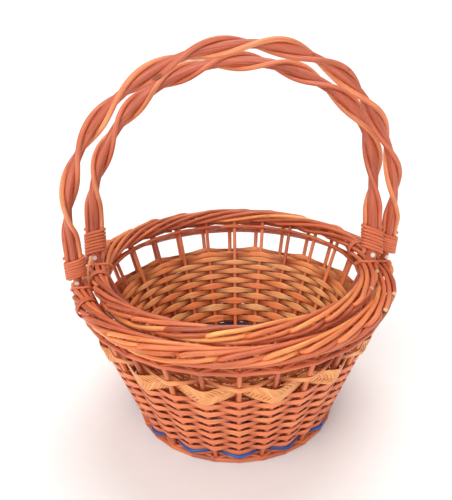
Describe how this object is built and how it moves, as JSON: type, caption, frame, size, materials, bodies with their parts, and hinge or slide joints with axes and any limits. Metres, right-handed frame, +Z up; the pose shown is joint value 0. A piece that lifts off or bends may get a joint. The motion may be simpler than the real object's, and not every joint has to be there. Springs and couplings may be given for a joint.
{
  "type": "nested easter baskets",
  "caption": "Nested round willow baskets with splayed woven walls, openwork galleries, rolled rod borders and tall arched handles; the inner basket lifts out.",
  "frame": {"origin": "on the floor under the middle of the outer basket", "axes": "+Z up, +X towards the right foot of the handles, +Y towards the back of the baskets"},
  "size_m": [0.3049, 0.2998, 0.364],
  "materials": {
    "handle_willow": "satin varnish over peeled willow",
    "border_willow": "satin varnish over peeled willow",
    "stake_willow": "satin varnish over peeled willow",
    "woven_strip": "varnished split willow strip",
    "straw_braid": "varnished plaited straw",
    "blue_weaver": "willow rod dyed blue and varnished",
    "cane_binding": "varnished cane",
    "base_willow": "varnished willow",
    "nail_steel": "bright wire nail"
  },
  "bodies": {
    "outer_basket": {"outer_base_sticks": "base_willow", "outer_base_weave": "base_willow", "outer_blue_weaver": "blue_weaver", "outer_border": "border_willow", "outer_braid": "straw_braid", "outer_foot_wale": "border_willow", "outer_handle_bow": "handle_willow", "outer_handle_lapping_rod_a": "handle_willow", "outer_handle_lapping_rod_b": "handle_willow", "outer_handle_nails": "nail_steel", "outer_left_binding": "cane_binding", "outer_left_lashing": "cane_binding", "outer_pairing": "woven_strip", "outer_right_binding": "cane_binding", "outer_right_lashing": "cane_binding", "outer_siding": "woven_strip", "outer_stakes": "stake_willow", "outer_top_wale": "border_willow"},
    "inner_basket": {"inner_base_sticks": "base_willow", "inner_base_weave": "base_willow", "inner_blue_weaver": "blue_weaver", "inner_border": "border_willow", "inner_foot_wale": "border_willow", "inner_handle_bow": "handle_willow", "inner_handle_lapping_rod_a": "handle_willow", "inner_handle_lapping_rod_b": "handle_willow", "inner_handle_nails": "nail_steel", "inner_left_binding": "cane_binding", "inner_left_lashing": "cane_binding", "inner_pairing": "woven_strip", "inner_right_binding": "cane_binding", "inner_right_lashing": "cane_binding", "inner_siding": "woven_strip", "inner_stakes": "stake_willow", "inner_top_wale": "border_willow"}
  },
  "joints": [
    {"name": "inner_basket_lift", "type": "slide", "parent": "outer_basket", "child": "inner_basket", "axis": [0, 0, 1], "range_m": [0, 0.015]}
  ]
}
